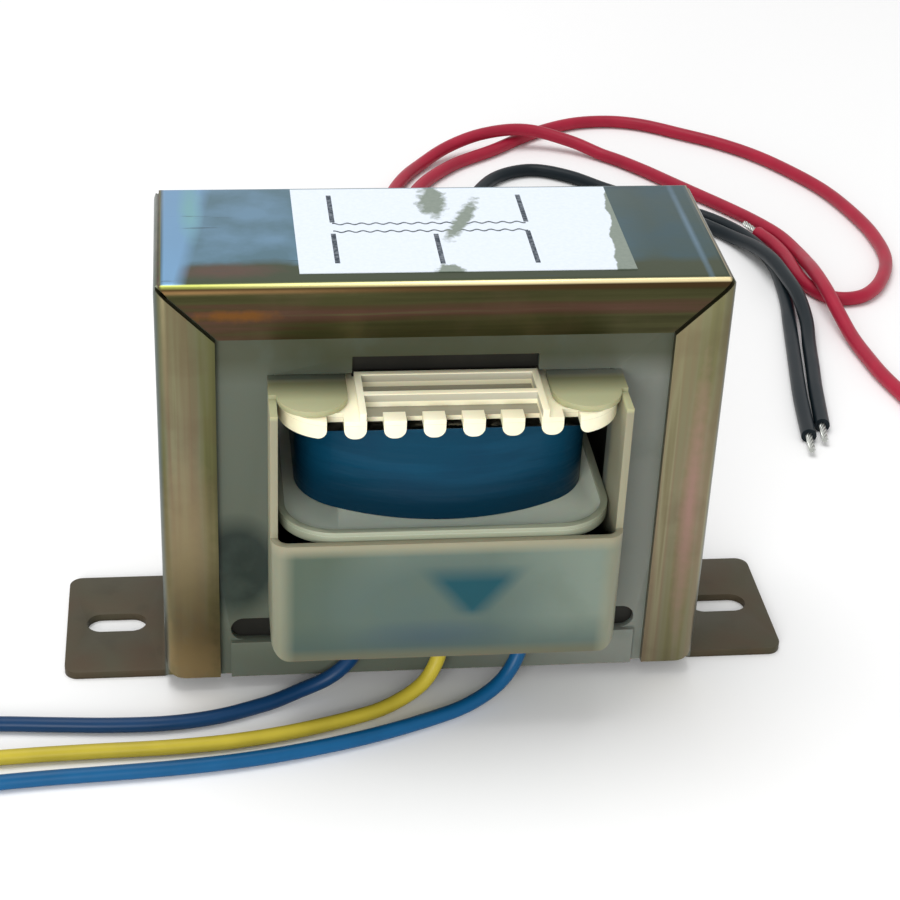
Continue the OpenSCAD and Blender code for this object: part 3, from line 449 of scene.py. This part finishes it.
def milky_moulding(colours):
    """Thin translucent polypropylene: grey-green where it is dark behind, paler along its edges, with
    painted light where the walls turn away.

    The taped coil shows through as a soft teal patch where it lies against the cup.
    """
    material, tree, place = start_material("milky_polypropylene")
    x, y, z = add(tree, "ShaderNodeSeparateXYZ", {0: place}).outputs
    out = add(tree, "ShaderNodeMath", {0: y}, operation="ABSOLUTE")
    aside = add(tree, "ShaderNodeMath", {0: x}, operation="ABSOLUTE")
    haze = add(tree, "ShaderNodeTexNoise", {"Vector": place, "Scale": 1 / 7, "Detail": 4.0})

    # Face plate: warm grey, lighter to the right, with painted shade in olive at the top under the frame's
    # flange and a painted shadow of the cup, cold and dark, low on the left.
    right = add(tree, "ShaderNodeMapRange", {0: x, 1: 0, 2: 30})
    top_shade = add(tree, "ShaderNodeMapRange", {0: z, 1: 51, 2: 55, 4: 0.85})
    hazy = add(tree, "ShaderNodeMapRange", {0: haze, 1: 0.5, 2: 0.75, 4: 0.35})
    plate = painted(tree, "#565c50", [
        (right, "#747870"), (top_shade, "#404330"),
        (spot(tree, place, (-29, -15.5, 21), (6, 30, 7.6), 0.25), "#26302a"), (hazy, "#525c54")])

    # The coil shows through the cup as a blunt wedge that points down.
    shifted = add(tree, "ShaderNodeMath", {0: x, 1: -3.6}, operation="ADD")
    slope = add(tree, "ShaderNodeMath", {0: shifted}, operation="ABSOLUTE")
    fall = add(tree, "ShaderNodeMath", {0: slope, 1: -1.25, 2: z}, operation="MULTIPLY_ADD")
    sides = add(tree, "ShaderNodeMapRange", {0: fall, 1: 17.6, 2: 21.6})
    above = add(tree, "ShaderNodeMapRange", {0: z, 1: 29, 2: 26})
    blunt = add(tree, "ShaderNodeMapRange", {0: z, 1: 20, 2: 21.4, 4: 0.96})
    wedge = add(tree, "ShaderNodeMath", {0: sides, 1: above}, operation="MULTIPLY")
    coil = add(tree, "ShaderNodeMath", {0: wedge, 1: blunt}, operation="MULTIPLY")

    # Cup: the panel is darkest in the middle and low down, with painted light where the walls turn away.
    left = add(tree, "ShaderNodeMapRange", {0: x, 1: -8, 2: -17})
    light = add(tree, "ShaderNodeMapRange", {0: x, 1: 6, 2: 20, 4: 0.7})
    misty = add(tree, "ShaderNodeMapRange", {0: haze, 1: 0.48, 2: 0.75, 4: 0.3})
    low = add(tree, "ShaderNodeMapRange", {0: z, 1: 20, 2: 15.5, 4: 0.7})
    foot = add(tree, "ShaderNodeMapRange", {0: z, 1: 15.4, 2: 14.0})
    flank_light = add(tree, "ShaderNodeMapRange", {0: aside, 1: 21.2, 2: 23.4})
    rim = add(tree, "ShaderNodeMapRange", {0: z, 1: PANEL_TOP - 2.1, 2: PANEL_TOP - 0.5})
    panel = painted(tree, colours.milky, [
        (left, "#4c594c"), (spot(tree, place, (0, CUP_WALL, 22), (17, 40, 8.5), 0.35), "#50605a"),
        (light, "#788478"), (misty, "#556254"), (coil, "#04434e"),
        (spot(tree, place, (-2, CUP_WALL, 16.6), (7, 40, 1.8), 0.9), "#40525e"),
        (low, "#3f504c"), (foot, "#5c5e4c"), (flank_light, "#7e806c"), (rim, "#8e8b74")])
    proud = add(tree, "ShaderNodeMapRange", {0: out, 1: 16.2, 2: 17.4})

    # Tabs folded over the bobbin: painted shade, dark by the plate and pale at their free ends.
    free = add(tree, "ShaderNodeMapRange", {0: out, 1: 16, 2: 22})
    shaded_tabs = painted(tree, "#4a4b30", [(free, "#a6a782")])
    upper = add(tree, "ShaderNodeMapRange", {0: z, 1: BOBBIN_TOP - 0.4, 2: BOBBIN_TOP})
    folded = add(tree, "ShaderNodeMath", {0: upper, 1: proud}, operation="MULTIPLY")
    colour = painted(tree, plate, [(proud, panel), (folded, shaded_tabs)])
    close_material(tree, add(tree, "ShaderNodeBsdfPrincipled", {
        "Base Color": colour, "Roughness": 0.36, "IOR": 1.49, "Specular IOR Level": 0.2,
        "Subsurface Weight": 0.2, "Subsurface Scale": 1.2 * MM}))
    return material


def winding_tape(colours):
    """Polyester film tape: deep teal with a soft shine, drawn into fine creases along the wrap."""
    material, tree, place = start_material("polyester_winding_tape")
    x, _, z = add(tree, "ShaderNodeSeparateXYZ", {0: place}).outputs
    aside = add(tree, "ShaderNodeMath", {0: x}, operation="ABSOLUTE")
    # Creases run level round the wrap.
    along = add(tree, "ShaderNodeMapping", {"Vector": place, "Scale": (0.1, 0.1, 1)})
    crease = add(tree, "ShaderNodeTexNoise", {"Vector": along, "Scale": 1 / 2.6, "Detail": 4.0})
    creased = add(tree, "ShaderNodeMapRange", {0: crease, 1: 0.5, 2: 0.6, 4: 0.35})
    tone = add(tree, "ShaderNodeTexNoise", {"Vector": place, "Scale": 1 / 6, "Detail": 3.0})
    toned = add(tree, "ShaderNodeMapRange", {0: tone, 1: 0.42, 2: 0.68, 4: 0.5})
    # Painted shade: darker at the wrap's foot and round its ends.
    foot = add(tree, "ShaderNodeMapRange", {0: z, 1: 41, 2: 36, 4: 0.7})
    ends = add(tree, "ShaderNodeMapRange", {0: aside, 1: 14, 2: 19, 4: 0.6})
    colour = painted(tree, colours.tape, [
        (toned, "#07324a"), (creased, "#0b4560"), (foot, "#03202f"), (ends, "#073046")])
    bump = add(tree, "ShaderNodeBump", {"Height": crease, "Strength": 0.7, "Distance": 0.5 * MM})
    close_material(tree, add(tree, "ShaderNodeBsdfPrincipled", {
        "Base Color": colour, "Roughness": 0.34, "IOR": 1.5, "Specular IOR Level": 0.1, "Normal": bump}))
    return material


def enamelled_copper():
    """Enamelled magnet wire wound in layers: orange-brown, glossy, ribbed by the wire."""
    material, tree, place = start_material("enamelled_copper_wire")
    # Wire pitch 0.5 mm.
    wave = add(tree, "ShaderNodeTexWave", {"Vector": place, "Scale": 0.314 / 0.5}, bands_direction="Z")
    bump = add(tree, "ShaderNodeBump",
        {"Height": wave.outputs[1], "Strength": 0.8, "Distance": 0.2 * MM})
    close_material(tree, add(tree, "ShaderNodeBsdfPrincipled", {
        "Base Color": "#a4521f", "Metallic": 0.85, "Roughness": 0.3, "Normal": bump}))
    return material


# The winding diagram on the label: upright rules as x, lower and upper end, and the heights and
# the ends of its two coils, which are drawn as wavy lines.
RULES = [(-14.6, 3.0, 12.1), (12.85, 2.6, 11.8), (-14.7, -9.9, -0.6), (-0.4, -10.4, -1.0),
    (12.65, -10.5, -0.3)]
RULE_W = 0.7
COILS = [2.5, 0.0]
COIL_ENDS = (-14.65, 12.75)
COIL_W = 0.4
WAVE_H = 0.25
WAVE_LEN = 2
LOST_END = 24.6


def printed_face(tree, x, y, fibre):
    """The label's white face with its diagram, a little worn where the fibres stand up."""
    inks = []
    for rule_x, low, high in RULES:
        across = add(tree, "ShaderNodeMath", {0: x, 1: rule_x, 2: RULE_W / 2}, operation="COMPARE")
        up = add(tree, "ShaderNodeMath", {0: y, 1: (low + high) / 2, 2: (high - low) / 2},
            operation="COMPARE")
        inks.append((across, up))
    phase = add(tree, "ShaderNodeMath", {0: x, 1: math.tau / WAVE_LEN}, operation="MULTIPLY")
    wave = add(tree, "ShaderNodeMath", {0: phase}, operation="SINE")
    level = add(tree, "ShaderNodeMath", {0: wave, 1: WAVE_H, 2: y}, operation="MULTIPLY_ADD")
    start, end = COIL_ENDS
    between = add(tree, "ShaderNodeMath", {0: x, 1: (start + end) / 2, 2: (end - start) / 2},
        operation="COMPARE")
    for height in COILS:
        line = add(tree, "ShaderNodeMath", {0: level, 1: height, 2: COIL_W / 2}, operation="COMPARE")
        inks.append((line, between))
    wear_and_highlight = add(tree, "ShaderNodeMapRange", {0: fibre, 1: 0.35, 2: 0.6, 3: 0.82, 4: 1.0})
    face = painted(tree, "#dbe5f0", [(fibre, "#eaf1fa")])
    for across, along in inks:
        both = add(tree, "ShaderNodeMath", {0: across, 1: along}, operation="MULTIPLY")
        ink = add(tree, "ShaderNodeMath", {0: both, 1: wear_and_highlight}, operation="MULTIPLY")
        face = painted(tree, face, [(ink, "#1c2a38")])
    return face


def label_paper():
    """Matt white label stock with a printed winding diagram of plain lines.

    Torn scuffs across the middle show the dull metal under it, and the right end has lost its face.
    """
    material, tree, place = start_material("printed_label_paper")
    x, y, _ = add(tree, "ShaderNodeSeparateXYZ", {0: place}).outputs
    fibre = add(tree, "ShaderNodeTexNoise", {"Vector": place, "Scale": 1 / 0.6, "Detail": 3.0})
    face = printed_face(tree, x, y, fibre)

    # The right end is lost along a ragged line that leans with y.
    lean = add(tree, "ShaderNodeMath", {0: y, 1: -0.1, 2: x}, operation="MULTIPLY_ADD")
    tear = add(tree, "ShaderNodeTexNoise", {"Vector": place, "Scale": 1 / 5, "Detail": 4.0})
    swing = add(tree, "ShaderNodeMapRange", {0: tear, 3: -1.2, 4: 1.2})
    end = add(tree, "ShaderNodeMath", {0: lean, 1: swing}, operation="ADD")
    bare_and_highlight = add(tree, "ShaderNodeMapRange", {0: end, 1: LOST_END, 2: LOST_END + 0.2})
    # Torn places: a blot behind the middle, a band running forward to the right, and the front edge.
    slant = add(tree, "ShaderNodeMapping", {"Vector": place, "Rotation": (0, 0, 0.38)}).outputs[0]
    for torn in (
        spot(tree, place, (0.2, 9.6, 66.8), (1.9, 5.2, 9), 0.25, 0.9),
        spot(tree, slant, (2.2, 4.2, 66.8), (1.2, 7.0, 9), 0.25, 0.9),
        spot(tree, place, (0.4, -12.4, 66.8), (1.9, 1.9, 9), 0.15, 0.7),
    ):
        bare_and_highlight = add(tree, "ShaderNodeMath", {0: bare_and_highlight, 1: torn}, operation="MAXIMUM")
    under = painted(tree, "#6c7a70", [(fibre, "#869084")])
    colour = painted(tree, face, [(bare_and_highlight, under)])
    rough = add(tree, "ShaderNodeMapRange", {0: bare_and_highlight, 3: 0.7, 4: 0.42})
    close_material(tree, add(tree, "ShaderNodeBsdfPrincipled", {"Base Color": colour, "Roughness": rough}))
    return material


def sleeve(name, colour):
    """Extruded PVC sleeve: one clear colour, slightly uneven gloss from handling."""
    material, tree, place = start_material(name)
    smudge = add(tree, "ShaderNodeTexNoise", {"Vector": place, "Scale": 1 / 6, "Detail": 3.0})
    rough = add(tree, "ShaderNodeMapRange", {0: smudge, 3: 0.28, 4: 0.5})
    dull = painted(tree, colour, [(0.35, "#000000")])
    tone = painted(tree, dull, [(smudge, colour)])
    close_material(tree, add(tree, "ShaderNodeBsdfPrincipled", {
        "Base Color": tone, "Roughness": rough, "IOR": 1.53, "Specular IOR Level": 0.18}))
    return material


def tinned_copper():
    """Copper strands dipped in solder: bright grey with a satin skin."""
    material, tree, place = start_material("tinned_copper_strands")
    skin = add(tree, "ShaderNodeTexNoise", {"Vector": place, "Scale": 1 / 1.2, "Detail": 3.0})
    rough = add(tree, "ShaderNodeMapRange", {0: skin, 3: 0.2, 4: 0.45})
    close_material(tree, add(tree, "ShaderNodeBsdfPrincipled", {
        "Base Color": "#b9bbb6", "Metallic": 1.0, "Roughness": rough}))
    return material


# ---- stage: the camera in millimetres and degrees, the lamps and floor in metres and watts ----

LENS = 84.7
AZIMUTH, ELEVATION, ROLL = -7.935, 31.143, 2.746
TARGET = (3.185, 0, 30.732)
DISTANCE = 315.15
LAMPS = (
    ("overhead_softbox", (-0.12, 0.16, 0.88), 0.6, 4.2),
    ("front_softbox", (-0.3, -0.8, 0.26), 0.4, 5.0),
)
FLOOR_R = 3.0

# ---- operators ----


class TRANSFORMER_OT_stage(bpy.types.Operator):
    """Make the camera, the lamps, the pale floor and the world"""

    bl_idname = "transformer.stage"
    bl_label = "Stage"

    def execute(self, context):
        scene = context.scene
        scene.view_settings.view_transform = "Standard"
        camera_data = bpy.data.cameras.new("camera")
        camera_data.sensor_width = 36
        camera_data.lens = LENS
        camera_data.clip_start = 0.01
        camera_data.clip_end = 20
        camera = bpy.data.objects.new("camera", camera_data)
        scene.collection.objects.link(camera)
        azimuth, elevation, roll = (math.radians(a) for a in (AZIMUTH, ELEVATION, ROLL))
        back = Vector((math.sin(azimuth) * math.cos(elevation), -math.cos(azimuth) * math.cos(elevation),
            math.sin(elevation)))
        turn = back.to_track_quat("Z", "Y").to_matrix().to_4x4()
        target = Vector(TARGET) * MM
        camera.matrix_world = (Matrix.Translation(target + back * DISTANCE * MM) @ turn
            @ Matrix.Rotation(roll, 4, "Z"))
        scene.camera = camera

        for name, place, size, power in LAMPS:
            lamp_data = bpy.data.lights.new(name, "AREA")
            lamp_data.size = size
            lamp_data.energy = power
            lamp = bpy.data.objects.new(name, lamp_data)
            lamp.location = place
            lamp.rotation_euler = (-Vector(place)).to_track_quat("-Z", "Y").to_euler()
            scene.collection.objects.link(lamp)

        bm = bmesh.new()
        bmesh.ops.create_circle(bm, cap_ends=True, radius=FLOOR_R, segments=64)
        mesh = bpy.data.meshes.new("floor")
        bm.to_mesh(mesh)
        bm.free()
        floor = bpy.data.objects.new("floor", mesh)
        scene.collection.objects.link(floor)
        material, tree, _ = start_material("pale_floor")
        close_material(tree, add(tree, "ShaderNodeBsdfPrincipled", {
            "Base Color": "#ffffff", "Roughness": 0.8, "Specular IOR Level": 0.2}))
        mesh.materials.append(material)

        world = bpy.data.worlds.new("studio")
        world.use_nodes = True
        tree = world.node_tree
        tree.nodes.clear()
        path = add(tree, "ShaderNodeLightPath")
        seen = path.outputs["Is Camera Ray"]
        for ray in ("Is Glossy Ray", "Is Transmission Ray"):
            seen = add(tree, "ShaderNodeMath", {0: seen, 1: path.outputs[ray]}, operation="MAXIMUM")
        strength = add(tree, "ShaderNodeMapRange", {0: seen, 3: 0.5, 4: 1.0})
        light = add(tree, "ShaderNodeBackground", {"Color": "#ffffff", "Strength": strength})
        add(tree, "ShaderNodeOutputWorld", {"Surface": light})
        scene.world = world
        return {"FINISHED"}


class TRANSFORMER_OT_leads(bpy.types.Operator):
    """Make the seven flexible leads"""

    bl_idname = "transformer.leads"
    bl_label = "Leads"

    def execute(self, context):
        colours = context.scene.transformer_colours
        sleeves = {hue + "_sleeve": sleeve(hue + "_pvc_sleeve", getattr(colours, hue))
            for hue in ("red", "black", "dark_blue", "light_blue", "yellow")}
        for node, (route, diameter, slot, end) in LEADS.items():
            curve = bpy.data.curves.new(node + "_sleeve", "CURVE")
            curve.dimensions = "3D"
            curve.resolution_u = 8
            curve.bevel_depth = diameter / 2 * MM
            curve.bevel_resolution = 5
            curve.use_fill_caps = True
            spline = curve.splines.new("BEZIER")
            spline.bezier_points.add(len(route) - 1)
            # Handles a third of each stretch long, level where the lead lies on the floor.
            for i, (knot, point) in enumerate(zip(spline.bezier_points, route)):
                before, after = route[max(i - 1, 0)], route[min(i + 1, len(route) - 1)]
                along = (after - before).normalized()
                if point.z < (diameter / 2 + TOLERANCE) * MM:
                    along.z = 0
                knot.handle_left_type = knot.handle_right_type = "FREE"
                knot.co = point
                knot.handle_left = point - along * (point - before).length / 3
                knot.handle_right = point + along * (after - point).length / 3
            curve.materials.append(sleeves[slot])
            obj = link_object(node + "_sleeve", curve)
            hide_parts(node)
        return {"FINISHED"}


class TRANSFORMER_OT_lead_ends(bpy.types.Operator):
    """Make the twisted and tinned strands at the end of each lead"""

    bl_idname = "transformer.lead_ends"
    bl_label = "Lead ends"

    def execute(self, context):
        turns = context.scene.transformer_sizes.strand_turns
        material = tinned_copper()
        for route, diameter, _, end in LEADS.values():
            bundle = (PRIMARY_STRAND_D if diameter == PRIMARY_D else SECONDARY_STRAND_D) * MM
            # One strand in the middle of six, so three strands span the bundle.
            strand = bundle / 6
            bm = bmesh.new()
            offsets = [Vector((0, 0, 0))]
            offsets += [Vector((2 * strand * math.cos(a), 2 * strand * math.sin(a), 0))
                for a in (math.tau * k / 6 for k in range(6))]
            for offset in offsets:
                ring = bmesh.ops.create_circle(bm, radius=strand, segments=8,
                    matrix=Matrix.Translation(offset))["verts"]
                rim = list({e for v in ring for e in v.link_edges})
                bmesh.ops.spin(bm, geom=ring + rim, cent=(0, 0, 0), axis=(0, 0, 1),
                    dvec=(0, 0, END_LEN * MM / STRAND_STEPS), angle=turns * math.tau, steps=STRAND_STEPS)
            bmesh.ops.holes_fill(bm, edges=[e for e in bm.edges if e.is_boundary])
            bmesh.ops.recalc_face_normals(bm, faces=bm.faces)
            along = (route[-1] - route[-2]).normalized()
            bmesh.ops.transform(bm, verts=bm.verts,
                matrix=Matrix.Translation(route[-1]) @ along.to_track_quat("Z", "Y").to_matrix().to_4x4())
            obj = finish_mesh(bm, end + "_strands", material)
            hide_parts(end)
        return {"FINISHED"}


class TRANSFORMER_OT_frame(bpy.types.Operator):
    """Finish the folded steel frame"""

    bl_idname = "transformer.folded_frame"
    bl_label = "Frame"

    def execute(self, context):
        sizes = context.scene.transformer_sizes
        material = passivated_steel(context.scene.transformer_colours)
        softened("frame", "folded_frame", sizes.sheet_edge, material)
        return {"FINISHED"}


class TRANSFORMER_OT_core(bpy.types.Operator):
    """Finish the sheets of the core"""

    bl_idname = "transformer.core"
    bl_label = "Core"

    def execute(self, context):
        material = varnished_core_steel()
        for node in ("e_laminations", "i_laminations"):
            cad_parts[node].data.materials[0] = material
        return {"FINISHED"}


class TRANSFORMER_OT_bobbin(bpy.types.Operator):
    """Finish the split bobbin"""

    bl_idname = "transformer.bobbin"
    bl_label = "Bobbin"

    def execute(self, context):
        sizes = context.scene.transformer_sizes
        material = cream_nylon(context.scene.transformer_colours)
        softened("bobbin", "split_bobbin", sizes.moulded_edge, material)
        return {"FINISHED"}


class TRANSFORMER_OT_windings(bpy.types.Operator):
    """Finish the two windings and the tape round them"""

    bl_idname = "transformer.windings"
    bl_label = "Windings"

    def execute(self, context):
        copper = enamelled_copper()
        for node in ("primary_winding", "secondary_winding"):
            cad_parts[node].data.materials[0] = copper
        tape = winding_tape(context.scene.transformer_colours)
        for node in ("primary_tape", "secondary_tape"):
            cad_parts[node].data.materials[0] = tape
        return {"FINISHED"}


class TRANSFORMER_OT_covers(bpy.types.Operator):
    """Finish the milky covers at both ends of the coil"""

    bl_idname = "transformer.covers"
    bl_label = "Covers"

    def execute(self, context):
        sizes = context.scene.transformer_sizes
        material = milky_moulding(context.scene.transformer_colours)
        for node, name in (("front_cover", "front_cover_moulding"), ("rear_cover", "rear_cover_moulding")):
            softened(node, name, sizes.moulded_edge, material)
        return {"FINISHED"}


class TRANSFORMER_OT_label(bpy.types.Operator):
    """Finish the paper label"""

    bl_idname = "transformer.label"
    bl_label = "Label"

    def execute(self, context):
        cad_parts["label"].data.materials[0] = label_paper()
        return {"FINISHED"}


class TRANSFORMER_PT_panel(bpy.types.Panel):
    """Sizes, colours and steps of the transformer"""

    bl_idname = "TRANSFORMER_PT_panel"
    bl_label = "Transformer"
    bl_space_type = "VIEW_3D"
    bl_region_type = "UI"
    bl_category = "Transformer"

    def draw(self, context):
        for group in (context.scene.transformer_sizes, context.scene.transformer_colours):
            box = self.layout.box()
            for name in group.__annotations__:
                box.prop(group, name)
        for operator in OPERATORS:
            self.layout.operator(operator.bl_idname)


OPERATORS = (
    TRANSFORMER_OT_stage,
    TRANSFORMER_OT_lead_ends,
    TRANSFORMER_OT_leads,
    TRANSFORMER_OT_frame,
    TRANSFORMER_OT_core,
    TRANSFORMER_OT_bobbin,
    TRANSFORMER_OT_windings,
    TRANSFORMER_OT_covers,
    TRANSFORMER_OT_label,
)
CLASSES = (TransformerSizes, TransformerColours) + OPERATORS + (TRANSFORMER_PT_panel,)


def register():
    for cls in CLASSES:
        bpy.utils.register_class(cls)
    bpy.types.Scene.transformer_sizes = bpy.props.PointerProperty(type=TransformerSizes)
    bpy.types.Scene.transformer_colours = bpy.props.PointerProperty(type=TransformerColours)


def unregister():
    del bpy.types.Scene.transformer_colours
    del bpy.types.Scene.transformer_sizes
    for cls in reversed(CLASSES):
        bpy.utils.unregister_class(cls)


def main():
    """Builds the looks."""
    register()
    bpy.ops.transformer.stage()
    bpy.ops.transformer.lead_ends()
    bpy.ops.transformer.leads()
    bpy.ops.transformer.folded_frame()
    bpy.ops.transformer.core()
    bpy.ops.transformer.bobbin()
    bpy.ops.transformer.windings()
    bpy.ops.transformer.covers()
    bpy.ops.transformer.label()


if __name__ == "__main__":
    main()
